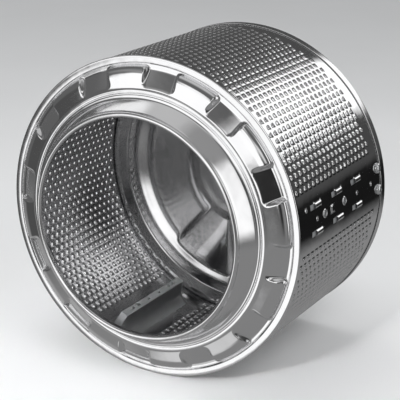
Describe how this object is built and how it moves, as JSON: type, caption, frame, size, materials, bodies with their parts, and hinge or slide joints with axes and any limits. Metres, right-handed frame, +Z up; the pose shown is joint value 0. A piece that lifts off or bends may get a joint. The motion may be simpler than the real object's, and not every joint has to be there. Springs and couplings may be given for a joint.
{
  "type": "washing machine drum",
  "caption": "Perforated cylindrical drum with pressed end panels, moulded lifters inside, an open round mouth and a bearing shaft on its back.",
  "frame": {"origin": "on the drum's axis, in the middle of the shaft's front bearing seat", "axes": "+Y along the drum's axis, from the mouth towards the shaft's end; +Z up as the drum hangs in its machine; +X to the right seen from the door"},
  "size_m": [0.483, 0.4823, 0.48],
  "materials": {
    "polished_sheet": "polished stainless steel",
    "grey_plastic": "satin moulded",
    "cast_aluminium": "as cast",
    "turned_steel": "turned and ground",
    "bolt_steel": "bright zinc"
  },
  "bodies": {
    "root": {"drum_shell": "polished_sheet", "front_panel": "polished_sheet", "rear_panel": "polished_sheet", "lifter_1": "grey_plastic", "lifter_2": "grey_plastic", "lifter_3": "grey_plastic", "spider": "cast_aluminium", "drum_shaft": "turned_steel", "seal_sleeve": "turned_steel", "spider_bolts": "bolt_steel"}
  },
  "joints": []
}
